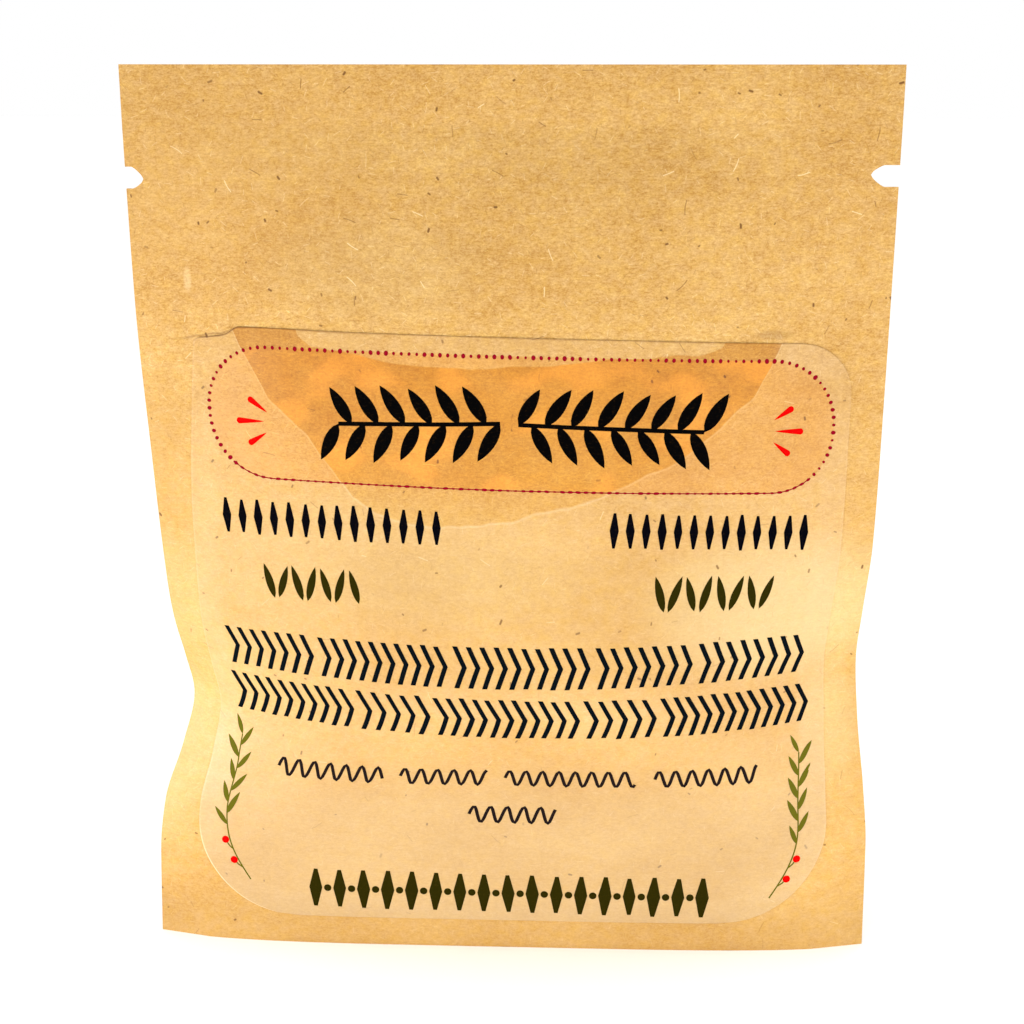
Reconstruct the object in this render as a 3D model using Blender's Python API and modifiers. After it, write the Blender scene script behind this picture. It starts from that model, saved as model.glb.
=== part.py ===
"""A small kraft-paper stand-up pouch, sealed shut, with a clear label film on its front.

Metres, +Z up, front towards -Y, origin on the ground under the middle of the pouch.
"""
import math

import bmesh
import bpy
from mathutils import Vector

MM = 0.001

# The pouch as it stands
HEIGHT = 89.8 * MM
SEAL_WIDTH = 5.5 * MM
SEALED_PAIR = 0.5 * MM
LEAN_BACK = 1.6 * MM

# Height and distance of each side seam from the pouch's middle, bottom to top, in millimetres
LEFT_SEAM = ((0.0, 36.95), (9.0, 36.85), (14.5, 36.25), (20.5, 34.4), (25.8, 32.9), (29.4, 33.95),
             (34.3, 34.85), (40.0, 35.3), (52.0, 36.1), (67.0, 37.0), (89.8, 37.5))
RIGHT_SEAM = ((0.0, 37.0), (11.0, 36.95), (17.0, 36.5), (25.0, 35.6), (31.0, 35.25), (36.0, 35.7),
              (43.0, 36.4), (58.0, 36.85), (89.8, 37.5))

# Height and how far each seam's outer edge is turned back, in millimetres
LEFT_TURN = ((0.0, 1.5), (12.0, 2.0), (27.0, 4.2), (38.0, 2.2), (50.0, 1.4), (70.0, 0.6), (84.0, 0.0))
RIGHT_TURN = ((0.0, 1.5), (12.0, 1.4), (31.0, 1.9), (45.0, 1.2), (70.0, 0.5), (84.0, 0.0))

# Height and how far the middle of each sheet stands out, in millimetres
FRONT_BULGE = ((0.0, 1.0), (8.0, 1.8), (13.0, 2.8), (18.5, 4.3), (24.0, 6.7), (28.0, 7.6), (34.0, 6.6),
               (40.5, 4.7), (43.5, 4.0), (50.0, 3.6), (64.0, 3.2), (75.0, 1.9), (84.0, 0.0))
BACK_BULGE = ((0.0, 8.2), (15.0, 9.6), (28.0, 10.0), (42.0, 8.0), (64.0, 4.6), (75.0, 2.4), (84.0, 0.0))

# Height and how square the bulge is from side to side: 2 is round, more is flat-topped
FRONT_SQUARENESS = ((0.0, 4.5), (18.5, 4.2), (24.0, 2.7), (28.0, 2.1), (84.0, 2.0))
BACK_SQUARENESS = ((0.0, 2.6), (28.0, 2.2), (84.0, 2.0))

# The folded-in bottom: how high its fold is, and where on the way from the fold to either face
# of the pouch the flat rim starts
GUSSET_RISE = 6.0 * MM
GUSSET_SQUARENESS = 2.4
RIM_LINE = 0.88

# Tear notches: height of the middle, half of the mouth, depth of the straight part, depth of the tip
LEFT_NOTCH = (79.1 * MM, 1.05 * MM, 0.6 * MM, 1.7 * MM)
RIGHT_NOTCH = (79.4 * MM, 1.05 * MM, 1.4 * MM, 2.7 * MM)
NOTCH_CUT_DEPTH = 8.0 * MM

# The label film, measured on the flat front sheet. It is stuck on a little askew: each side edge
# is given by its height and its distance from the sheet's middle, in millimetres, and the top
# edge slopes down to the right.
FLAT_HALF_WIDTH = 37.5 * MM
LABEL_LEFT = ((2.6, 33.9), (28.0, 34.2), (64.0, 31.9))
LABEL_RIGHT = ((2.6, 33.5), (28.0, 33.6), (64.0, 34.2))
LABEL_LOW = 2.6 * MM
LABEL_HIGH = 63.9 * MM
LABEL_TOP_SLOPE = -0.024
LABEL_CORNERS = {"top_left": 1.8 * MM, "top_right": 5.2 * MM,
                 "bottom_left": 11.0 * MM, "bottom_right": 9.5 * MM}
LABEL_THICKNESS = 0.2 * MM
LABEL_GAP = 0.3 * MM

# How finely the sheets are divided
POUCH_COLUMNS = 30
POUCH_ROWS = 44
LABEL_COLUMNS = 24
LABEL_ROWS = 32

PAPER_COLOUR = (0.80, 0.50, 0.19, 1.0)
FILM_COLOUR = (0.90, 0.60, 0.27, 1.0)


def clear_scene():
    for thing in list(bpy.data.objects):
        bpy.data.objects.remove(thing, do_unlink=True)


def new_collection(name):
    collection = bpy.data.collections.new(name)
    bpy.context.scene.collection.children.link(collection)
    return collection


def plain_material(name, colour, roughness):
    material = bpy.data.materials.new(name)
    material.use_nodes = True
    shader = material.node_tree.nodes["Principled BSDF"]
    shader.inputs["Base Color"].default_value = colour
    shader.inputs["Roughness"].default_value = roughness
    shader.inputs["Metallic"].default_value = 0.0
    return material


def station_slope(stations, index):
    """Slope of the curve at one station: level at a peak, gentle beside a steep stretch."""
    def chord(start):
        (low, low_value), (high, high_value) = stations[start], stations[start + 1]
        return (high_value - low_value) / (high - low)

    if index == 0:
        return chord(0)
    if index == len(stations) - 1:
        return chord(index - 1)
    before, after = chord(index - 1), chord(index)
    if before * after <= 0.0:
        return 0.0
    return 2.0 * before * after / (before + after)


def along(stations, height):
    """Value at a height, in metres for stations in millimetres, on a smooth curve through them."""
    level = min(max(height / MM, stations[0][0]), stations[-1][0])
    index = max(i for i in range(len(stations) - 1) if stations[i][0] <= level)
    (low, low_value), (high, high_value) = stations[index], stations[index + 1]
    span = high - low
    part = (level - low) / span
    rise = part * part * (3.0 - 2.0 * part)
    value = low_value + (high_value - low_value) * rise
    value += station_slope(stations, index) * span * part * (1.0 - part) ** 2
    value -= station_slope(stations, index + 1) * span * part * part * (1.0 - part)
    return value * MM


def squareness(stations, height):
    return along(stations, height) / MM


def half_width(height):
    return (along(LEFT_SEAM, height) + along(RIGHT_SEAM, height)) / 2.0


def towards_seal(across, height):
    """0 at the pouch's middle and 1 from the inner edge of either side seal outwards."""
    half = half_width(height)
    return min(abs(across) * half / (half - SEAL_WIDTH), 1.0)


def sheet_point(across, height, side):
    """A point of the front (side -1) or back (side 1) sheet; across runs from -1 to 1 between seams."""
    left, right = along(LEFT_SEAM, height), along(RIGHT_SEAM, height)
    half = half_width(height)
    x = (right - left) / 2.0 + across * half

    inward = towards_seal(across, height)
    into_seal = max(abs(across) * half - (half - SEAL_WIDTH), 0.0) / SEAL_WIDTH
    turn = along(LEFT_TURN if across < 0.0 else RIGHT_TURN, height) * into_seal

    if side < 0:
        bulge = along(FRONT_BULGE, height) * (1.0 - inward ** squareness(FRONT_SQUARENESS, height))
    else:
        bulge = along(BACK_BULGE, height) * (1.0 - inward ** squareness(BACK_SQUARENESS, height))
    y = LEAN_BACK * height / HEIGHT + turn + side * (SEALED_PAIR / 2.0 + bulge)
    return Vector((x, y, height))


def gusset_point(across, side):
    """A point of the underside: flat along both rims, and raised to a fold midway between them."""
    front, back = sheet_point(across, 0.0, -1), sheet_point(across, 0.0, 1)
    point = front.lerp(back, (side + 1.0) / 2.0)
    folded_in = max(1.0 - abs(side) / RIM_LINE, 0.0)
    spread = 1.0 - towards_seal(across, 0.0) ** GUSSET_SQUARENESS
    point.z = GUSSET_RISE * folded_in * spread
    return point


def cut_across(shape, geometry, place, normal):
    return bmesh.ops.bisect_plane(shape, geom=geometry, dist=1e-7, plane_co=place, plane_no=normal)


def pouch_mesh():
    """A block divided into columns and rows, with every corner moved to its place on the pouch."""
    shape = bmesh.new()
    bmesh.ops.create_cube(shape, size=2.0)
    for column in range(1, POUCH_COLUMNS):
        everything = shape.verts[:] + shape.edges[:] + shape.faces[:]
        cut_across(shape, everything, (2.0 * column / POUCH_COLUMNS - 1.0, 0.0, 0.0), (1.0, 0.0, 0.0))
    for row in range(1, POUCH_ROWS):
        everything = shape.verts[:] + shape.edges[:] + shape.faces[:]
        cut_across(shape, everything, (0.0, 0.0, 2.0 * row / POUCH_ROWS - 1.0), (0.0, 0.0, 1.0))

    # The underside's two rims and the fold between them
    for line in (-RIM_LINE, 0.0, RIM_LINE):
        under = [face for face in shape.faces if face.normal.z < -0.5]
        edges = list({edge for face in under for edge in face.edges})
        corners = list({corner for face in under for corner in face.verts})
        cut_across(shape, corners + edges + under, (0.0, line, 0.0), (0.0, 1.0, 0.0))

    for corner in shape.verts:
        across, side, level = corner.co
        height = (level + 1.0) / 2.0 * HEIGHT
        if level < -0.999:
            corner.co = gusset_point(across, side)
        else:
            corner.co = sheet_point(across, height, side)
    mesh = bpy.data.meshes.new("pouch")
    shape.to_mesh(mesh)
    shape.free()
    return mesh


def notch_cutter(name, edge_side, sizes, collection):
    """A pointed slot through the side seal, open at its edge; edge_side is -1 left and 1 right."""
    height, half_mouth, straight, tip = sizes
    seam = along(LEFT_SEAM if edge_side < 0 else RIGHT_SEAM, height)
    beyond = seam + SEAL_WIDTH
    outline = ((beyond, -half_mouth), (seam - straight, -half_mouth), (seam - tip, 0.0),
               (seam - straight, half_mouth), (beyond, half_mouth))

    curve = bpy.data.curves.new(name, "CURVE")
    curve.dimensions = "2D"
    curve.fill_mode = "BOTH"
    curve.extrude = NOTCH_CUT_DEPTH / 2.0
    spline = curve.splines.new("POLY")
    spline.points.add(len(outline) - 1)
    for point, (distance, rise) in zip(spline.points, outline):
        point.co = (edge_side * distance, rise, 0.0, 1.0)
    spline.use_cyclic_u = True

    drawn = bpy.data.objects.new(name + "_outline", curve)
    drawn.location = (0.0, 0.0, height)
    drawn.rotation_euler = (math.pi / 2.0, 0.0, 0.0)
    collection.objects.link(drawn)
    bpy.context.view_layer.update()

    view = bpy.context.evaluated_depsgraph_get()
    mesh = bpy.data.meshes.new_from_object(drawn.evaluated_get(view))
    welded = bmesh.new()
    welded.from_mesh(mesh)
    bmesh.ops.remove_doubles(welded, verts=welded.verts, dist=1e-6)
    bmesh.ops.recalc_face_normals(welded, faces=welded.faces)
    welded.to_mesh(mesh)
    welded.free()

    cutter = bpy.data.objects.new(name, mesh)
    cutter.matrix_world = drawn.matrix_world.copy()
    collection.objects.link(cutter)
    bpy.data.objects.remove(drawn, do_unlink=True)
    cutter.hide_render = True
    cutter.display_type = "WIRE"
    return cutter


def build_pouch(parts, cutters):
    pouch = bpy.data.objects.new("pouch", pouch_mesh())
    pouch.data.materials.append(plain_material("kraft_paper", PAPER_COLOUR, 0.8))
    parts.objects.link(pouch)
    for name, edge_side, sizes in (("left_notch", -1, LEFT_NOTCH), ("right_notch", 1, RIGHT_NOTCH)):
        cut = pouch.modifiers.new(name, "BOOLEAN")
        cut.operation = "DIFFERENCE"
        cut.solver = "EXACT"
        cut.object = notch_cutter(name, edge_side, sizes, cutters)
    return pouch


def corner_inset(distance_from_end, radius):
    """How far a rounded corner draws the label's edge in, near the label's top or bottom."""
    if distance_from_end >= radius:
        return 0.0
    return radius - math.sqrt(radius ** 2 - (radius - distance_from_end) ** 2)


def label_point(across, up):
    """A point of the film's inner face; across and up run from 0 to 1 over the label."""
    height = LABEL_LOW + (LABEL_HIGH - LABEL_LOW) * up
    from_low, from_high = height - LABEL_LOW, LABEL_HIGH - height
    left = max(corner_inset(from_low, LABEL_CORNERS["bottom_left"]),
               corner_inset(from_high, LABEL_CORNERS["top_left"])) - along(LABEL_LEFT, height)
    right = along(LABEL_RIGHT, height) - max(corner_inset(from_low, LABEL_CORNERS["bottom_right"]),
                                             corner_inset(from_high, LABEL_CORNERS["top_right"]))
    place = left + (right - left) * across
    return film_place(place / FLAT_HALF_WIDTH, height + LABEL_TOP_SLOPE * place * up)


def film_place(across, height):
    """The front sheet's point, moved out of the paper by the label's gap."""
    step = 0.5 * MM
    point = sheet_point(across, height, -1)
    sideways = sheet_point(across + step / FLAT_HALF_WIDTH, height, -1) - point
    upward = sheet_point(across, height + step, -1) - point
    return point + sideways.cross(upward).normalized() * LABEL_GAP


def label_mesh():
    shape = bmesh.new()
    bmesh.ops.create_grid(shape, x_segments=LABEL_COLUMNS, y_segments=LABEL_ROWS, size=0.5)
    for corner in shape.verts:
        across = corner.co.x + 0.5
        # Rows crowd towards both ends, where the corners are round
        up = 0.5 - 0.5 * math.cos(math.pi * (corner.co.y + 0.5))
        corner.co = label_point(across, up)
    bmesh.ops.recalc_face_normals(shape, faces=shape.faces)
    if sum(face.normal.y for face in shape.faces) > 0.0:
        bmesh.ops.reverse_faces(shape, faces=shape.faces)
    mesh = bpy.data.meshes.new("label")
    shape.to_mesh(mesh)
    shape.free()
    return mesh


def build_label(parts):
    label = bpy.data.objects.new("label", label_mesh())
    label.data.materials.append(plain_material("label_film", FILM_COLOUR, 0.25))
    parts.objects.link(label)
    wall = label.modifiers.new("film thickness", "SOLIDIFY")
    wall.thickness = LABEL_THICKNESS
    wall.offset = 1.0
    return label


def stand_on_origin(meshes):
    """Moves the part so that its box is centred over the origin from front to back."""
    depths = [corner.co.y for mesh in meshes for corner in mesh.vertices]
    film_face = min(depths) - LABEL_THICKNESS
    shift = Vector((0.0, -(film_face + max(depths)) / 2.0, 0.0))
    for mesh in meshes:
        for corner in mesh.vertices:
            corner.co += shift


def main():
    clear_scene()
    parts = new_collection("kraft_pouch")
    cutters = new_collection("cutters")
    pouch = build_pouch(parts, cutters)
    label = build_label(parts)
    stand_on_origin([pouch.data, label.data])
    for part in (pouch, label):
        part.data.shade_smooth()
        part.data.set_sharp_from_angle(angle=math.radians(40.0))


main()
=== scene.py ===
"""Finishes a small sealed kraft paper stand-up pouch with a clear printed label film on its front.

Metres, +Z up, the labelled front towards -Y. Distances along a sheet are measured on the flat
paper: across from its middle line, and up from its bottom edge.
"""
import math
from functools import lru_cache

import bmesh
import bpy
from bpy.props import FloatProperty, FloatVectorProperty, IntProperty, PointerProperty
from mathutils import Matrix, Vector, kdtree, noise


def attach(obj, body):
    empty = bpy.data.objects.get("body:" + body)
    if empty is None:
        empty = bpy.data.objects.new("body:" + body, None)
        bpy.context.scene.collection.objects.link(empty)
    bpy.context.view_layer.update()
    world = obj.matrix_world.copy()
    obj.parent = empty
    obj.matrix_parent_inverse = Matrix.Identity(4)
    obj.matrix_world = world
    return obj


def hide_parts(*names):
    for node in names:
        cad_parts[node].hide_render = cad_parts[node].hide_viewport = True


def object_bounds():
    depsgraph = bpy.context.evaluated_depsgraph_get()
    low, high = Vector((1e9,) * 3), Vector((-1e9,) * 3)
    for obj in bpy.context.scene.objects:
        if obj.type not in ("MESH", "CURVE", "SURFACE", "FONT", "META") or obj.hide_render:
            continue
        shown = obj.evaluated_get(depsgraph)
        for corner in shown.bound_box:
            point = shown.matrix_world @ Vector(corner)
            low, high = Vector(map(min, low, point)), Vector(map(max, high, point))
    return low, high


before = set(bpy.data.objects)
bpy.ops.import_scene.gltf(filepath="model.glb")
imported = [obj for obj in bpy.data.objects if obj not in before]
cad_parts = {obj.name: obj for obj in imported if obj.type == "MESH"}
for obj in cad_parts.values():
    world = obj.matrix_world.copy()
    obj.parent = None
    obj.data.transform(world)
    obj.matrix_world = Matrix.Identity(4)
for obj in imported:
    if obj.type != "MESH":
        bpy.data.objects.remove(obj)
SOLID_LOW, SOLID_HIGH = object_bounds()

bl_info = {
    "name": "Kraft paper pouch",
    "version": (1, 0, 0),
    "blender": (4, 5, 0),
    "location": "3D View > Sidebar > Pouch",
    "description": "Makes the paper, the label film, its print and a studio for a stand-up pouch",
    "category": "Object",
}

MM = 0.001
BODY = "root"
FLAT_MAP = "flat_sheet"

# Height of a place on the pouch, and a size there, bottom to top, all in millimetres: how far each
# side seam is from the middle line and how far its outer edge turns back, how far the middle of
# each sheet stands out, and how square that bulge is from side to side
STATIONS = {
    "left seam": ((0.0, 36.95), (9.0, 36.85), (14.5, 36.25), (20.5, 34.35), (25.7, 33.2), (29.4, 33.88),
                  (34.3, 34.8), (40.0, 35.3), (52.0, 36.1), (67.0, 37.0), (89.8, 37.5)),
    "right seam": ((0.0, 37.0), (11.0, 36.95), (17.0, 36.5), (25.0, 35.6), (31.0, 35.25), (36.0, 35.7),
                   (43.0, 36.4), (58.0, 36.85), (89.8, 37.5)),
    "left turn": ((0.0, 1.5), (12.0, 2.0), (27.0, 4.2), (38.0, 2.2), (50.0, 1.4), (70.0, 0.6), (84.0, 0.0)),
    "right turn": ((0.0, 1.5), (12.0, 1.4), (31.0, 1.9), (45.0, 1.2), (70.0, 0.5), (84.0, 0.0)),
    "front bulge": ((0.0, 1.0), (8.0, 1.8), (13.0, 2.8), (18.5, 4.3), (24.0, 6.7), (28.0, 7.6), (34.0, 6.6),
                    (40.5, 4.7), (43.5, 4.0), (50.0, 3.6), (64.0, 3.2), (75.0, 1.9), (84.0, 0.0)),
    "back bulge": ((0.0, 8.2), (15.0, 9.6), (28.0, 10.0), (42.0, 8.0), (64.0, 4.6), (75.0, 2.4), (84.0, 0.0)),
    "front squareness": ((0.0, 4.5), (18.5, 4.2), (24.0, 2.7), (28.0, 2.1), (84.0, 2.0)),
    "back squareness": ((0.0, 2.6), (28.0, 2.2), (84.0, 2.0)),
}
SOLID_PAIR = 0.5 * MM
FLAT_HALF_WIDTH = 37.5 * MM
POUCH_HEIGHT = SOLID_HIGH.z - SOLID_LOW.z

# The underside: the fold's height is a size of the pouch, and the flat rim starts at this share
# of the way from the fold to either face
RIM_LINE = 0.88
FOLD_SQUARENESS = 2.4

# Tear notches: side, height of the middle, half of the mouth, depth of the straight part and of the
# tip, and how far the tip is above the middle
NOTCHES = {
    "left_notch": (-1, 79.06 * MM, 1.05 * MM, 0.6 * MM, 1.74 * MM, -0.13 * MM),
    "right_notch": (1, 79.43 * MM, 1.03 * MM, 1.35 * MM, 2.7 * MM, 0.12 * MM),
}
# A notch from its tip to where it is straight: share of the way, and share of its half width
NOTCH_CURVE = ((0.06, 0.16), (0.19, 0.38), (0.43, 0.62), (0.67, 0.83), (0.90, 0.97), (1.0, 1.0))

# The label's outline on the flat sheet in millimetres: height and distance of each side edge, and
# place and height of the top edge, which dips where it meets a crease. Then its round corners.
LABEL_LEFT = ((3.2, 33.1), (13.0, 33.3), (30.0, 33.95), (45.0, 33.6), (64.0, 31.7))
LABEL_RIGHT = ((3.2, 33.2), (17.0, 33.3), (30.0, 33.8), (48.0, 34.1), (64.0, 34.1))
LABEL_TOP = ((-33.0, 63.5), (-31.5, 63.6), (-28.4, 64.0), (-26.9, 64.8), (-16.5, 64.55), (9.0, 64.0),
             (27.0, 63.5), (34.5, 63.25))
LABEL_LOW = 3.2 * MM
LABEL_HIGH = 64.15 * MM
LABEL_CORNERS = {"top left": 0.7 * MM, "top right": 5.2 * MM,
                 "bottom left": 10.7 * MM, "bottom right": 11.2 * MM}
# How dark the painted shade along the film's top edge is from place to place
TOP_EDGE_SHADE = ((-31.5, 0.0), (-30.8, 0.60), (-29.5, 0.80), (-28.0, 0.75), (-24.0, 0.65), (-15.0, 0.38), (12.0, 0.30),
                 (19.0, 0.45), (26.0, 0.40), (29.0, 0.14), (34.0, 0.05))

# The printed panel at the label's head, in millimetres on the flat sheet
PANEL_MIDDLE = (0.95, 55.92)
PANEL_HALF = (31.54, 6.52)
PANEL_CORNER = 6.2
PANEL_SLOPE = -0.0208
PANEL_ARCH = 0.00018

# Where the film is stuck fast: above the first line and below the second, in millimetres
BOWL_LINE = ((-28.5, 67.0), (-27.0, 63.2), (-24.4, 58.1), (-20.5, 54.2), (-16.2, 48.4), (-13.9, 46.9),
             (-11.0, 45.9), (-7.2, 45.5), (0.9, 46.5), (8.7, 48.6), (17.1, 52.3), (24.3, 58.3),
             (26.8, 63.2), (28.0, 67.0))
STRIP_LINE = ((-21.4, 67.0), (-20.9, 64.3), (-19.6, 63.1), (-16.1, 62.4), (-13.1, 61.9), (-7.8, 61.2),
              (-2.4, 61.2), (5.4, 61.6), (10.1, 62.0), (16.0, 62.4), (19.2, 62.5), (21.0, 63.2),
              (21.6, 64.3), (22.0, 67.0))

# The soft fold in the paper that runs into the label's top left corner, drawn only as a painted shadow line along it
CREASE = ((-36.0, 63.3), (-33.0, 63.4), (-31.5, 63.7), (-28.6, 64.1), (-26.8, 64.9))

# Soft places on the front with painted light and shade: the paler patches are a painted highlight,
# the darker ones painted shade, and the two small fibre-coloured ones are marks on the paper.
# Middle and half size in millimetres, the paper colour that shows there, and how much of it
PAINTED_LIGHT_AND_MARKS = (
    ((28.0, 37.5), (17.0, 9.0), "painted_highlight", 0.38),
    ((34.0, 24.5), (4.5, 8.0), "painted_highlight", 0.22),
    ((-38.5, 19.0), (7.0, 11.0), "painted_highlight", 0.21),
    ((-13.0, 70.5), (14.0, 6.5), "painted_highlight", 0.09),
    ((-13.0, 42.0), (24.0, 8.0), "painted_highlight", 0.14),
    ((-37.0, 37.0), (6.0, 8.0), "painted_highlight", 0.14),
    ((-27.0, 78.5), (20.0, 13.0), "deep", 0.17),
    ((-35.5, 50.0), (4.0, 12.0), "deep", 0.20),
    ((-31.9, 69.3), (0.5, 1.5), "pale_fibre", 0.28),
    ((26.2, 64.3), (2.4, 0.6), "dark_fibre_and_shade", 0.32),
)


class PouchSizes(bpy.types.PropertyGroup):
    """Sizes of the paper body."""
    seal_width: FloatProperty(name="Seal width", description="Width of each side seal",
                              default=5.5 * MM, unit="LENGTH", precision=5)
    sealed_pair: FloatProperty(name="Sealed pair", description="Thickness of the two sealed sheets",
                               default=0.36 * MM, unit="LENGTH", precision=5)
    lean_back: FloatProperty(name="Lean back", description="How far the top edge stands behind the foot",
                             default=1.6 * MM, unit="LENGTH", precision=5)
    fold_rise: FloatProperty(name="Fold rise", description="Height of the fold in the underside",
                             default=6.0 * MM, unit="LENGTH", precision=5)
    cockle: FloatProperty(name="Cockle", description="Depth of the soft waves in the paper",
                          default=0.16 * MM, unit="LENGTH", precision=5)
    plumpness: FloatProperty(name="Plumpness", description="Share by which the front bulges past its solid",
                             default=0.035, subtype="FACTOR")
    groove: FloatProperty(name="Groove", description="Depth of the line between the two sheets' edges",
                          default=0.12 * MM, unit="LENGTH", precision=5)
    columns: IntProperty(name="Columns", description="Faces across each sheet", default=150)
    rows: IntProperty(name="Rows", description="Faces up each sheet", default=180)


class PaperLook(bpy.types.PropertyGroup):
    """Colours and relief of the kraft paper."""
    light: FloatVectorProperty(name="Light paper", description="Paper between the fibres",
                               default=(0.590, 0.377, 0.142), subtype="COLOR", min=0.0, max=1.0)
    # Also the colour of the painted shade patches on the front
    deep: FloatVectorProperty(name="Deep paper", description="Paper where it is darkest",
                              default=(0.345, 0.167, 0.029), subtype="COLOR", min=0.0, max=1.0)
    ochre: FloatVectorProperty(name="Ochre tint", description="Tint of the paper where it is yellower",
                               default=(1.0, 0.96, 0.65), subtype="COLOR", min=0.0, max=1.0)
    # Also the colour of the painted shade along the crease, at the foot and along the film's top edge
    dark_fibre_and_shade: FloatVectorProperty(name="Dark fibre", description="Scattered brown fibres",
                                    default=(0.130, 0.045, 0.001), subtype="COLOR", min=0.0, max=1.0)
    # Colour of the painted highlight on the front's paler patches
    painted_highlight: FloatVectorProperty(name="Bleached paper", description="Paper paled by rubbing",
                                  default=(0.62, 0.53, 0.27), subtype="COLOR", min=0.0, max=1.0)
    pale_fibre: FloatVectorProperty(name="Pale fibre", description="Scattered cream fibres",
                                    default=(0.72, 0.57, 0.32), subtype="COLOR", min=0.0, max=1.0)
    cut_edge: FloatVectorProperty(name="Cut edge", description="The sheets' cut edges",
                                  default=(0.64, 0.49, 0.28), subtype="COLOR", min=0.0, max=1.0)
    roughness: FloatProperty(name="Roughness", description="Roughness of the paper",
                             default=0.62, subtype="FACTOR", min=0.0, max=1.0)
    relief: FloatProperty(name="Relief", description="Depth of the paper's grain",
                          default=0.03 * MM, unit="LENGTH", precision=6)


class LabelLook(bpy.types.PropertyGroup):
    """Sizes and colours of the label film."""
    lift: FloatProperty(name="Lift", description="Glue between the paper and the film",
                        default=0.03 * MM, unit="LENGTH", precision=6)
    thickness: FloatProperty(name="Thickness", description="Thickness of the film",
                             default=0.07 * MM, unit="LENGTH", precision=6)
    loose_tint: FloatVectorProperty(name="Loose film", description="Paper seen through film that barely touches",
                                    default=(0.937, 0.926, 0.98), subtype="COLOR", min=0.0, max=1.0)
    stuck_tint: FloatVectorProperty(name="Stuck film", description="Paper seen through film stuck fast",
                                    default=(0.79, 0.61, 0.30), subtype="COLOR", min=0.0, max=1.0)
    foot_tint: FloatVectorProperty(name="Stuck foot", description="The same at the stuck part's lower end",
                                   default=(0.93, 0.86, 0.68), subtype="COLOR", min=0.0, max=1.0)
    haze: FloatVectorProperty(name="Haze", description="Milky veil of the loose film",
                              default=(0.47, 0.295, 0.115), subtype="COLOR", min=0.0, max=1.0)
    # Pale of lifted film; also the colour of the painted highlights along the film's edges and at the left waist
    pale_lift_and_highlight: FloatVectorProperty(name="Edge light", description="Pale rim where the film lifts",
                                    default=(0.74, 0.58, 0.36), subtype="COLOR", min=0.0, max=1.0)
    # Pale veil over the label's lower part: a painted reflection of the bright floor
    low_reflection: FloatVectorProperty(name="Low haze", description="The veil over the label's lower part",
                                  default=(0.38, 0.345, 0.25), subtype="COLOR", min=0.0, max=1.0)
    panel_stuck: FloatVectorProperty(name="Stuck panel", description="Tint of the panel where the film is stuck",
                                     default=(1.0, 0.83, 0.31), subtype="COLOR", min=0.0, max=1.0)
    panel_glow: FloatVectorProperty(name="Panel glow", description="Richer patches of the stuck panel",
                                    default=(0.74, 0.28, 0.025), subtype="COLOR", min=0.0, max=1.0)
    panel_tint: FloatVectorProperty(name="Panel", description="Orange field at the label's head",
                                    default=(1.0, 0.83, 0.545), subtype="COLOR", min=0.0, max=1.0)
    roughness: FloatProperty(name="Roughness", description="Roughness of the film",
                             default=0.46, subtype="FACTOR", min=0.0, max=1.0)
    columns: IntProperty(name="Columns", description="Faces across the film", default=136)
    rows: IntProperty(name="Rows", description="Faces up the film", default=132)


class PrintLook(bpy.types.PropertyGroup):
    """Inks and marks printed on the film."""
    black: FloatVectorProperty(name="Black ink", description="Large marks on the panel",
                               default=(0.0006, 0.0005, 0.0006), subtype="COLOR", min=0.0, max=1.0)
    navy: FloatVectorProperty(name="Navy ink", description="Marks under the panel",
                              default=(0.0006, 0.0006, 0.0018), subtype="COLOR", min=0.0, max=1.0)
    teal: FloatVectorProperty(name="Teal ink", description="The two chevron bands",
                              default=(0.0009, 0.0027, 0.0042), subtype="COLOR", min=0.0, max=1.0)
    olive: FloatVectorProperty(name="Olive ink", description="Leaves and low marks",
                               default=(0.016, 0.013, 0.0004), subtype="COLOR", min=0.0, max=1.0)
    red: FloatVectorProperty(name="Red ink", description="Rays and berries",
                             default=(0.50, 0.001, 0.001), subtype="COLOR", min=0.0, max=1.0)
    leaf: FloatVectorProperty(name="Leaf ink", description="Leaf sprigs",
                              default=(0.085, 0.080, 0.006), subtype="COLOR", min=0.0, max=1.0)
    plum: FloatVectorProperty(name="Plum ink", description="The fine waves",
                              default=(0.010, 0.006, 0.006), subtype="COLOR", min=0.0, max=1.0)
    maroon: FloatVectorProperty(name="Maroon ink", description="Dotted border",
                                default=(0.20, 0.003, 0.012), subtype="COLOR", min=0.0, max=1.0)
    ink_height: FloatProperty(name="Ink height", description="How far ink stands out of the film",
                              default=0.014 * MM, unit="LENGTH", precision=6)
    dot_spacing: FloatProperty(name="Dot spacing", description="Distance between the border's dots",
                               default=0.76 * MM, unit="LENGTH", precision=5)


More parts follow.
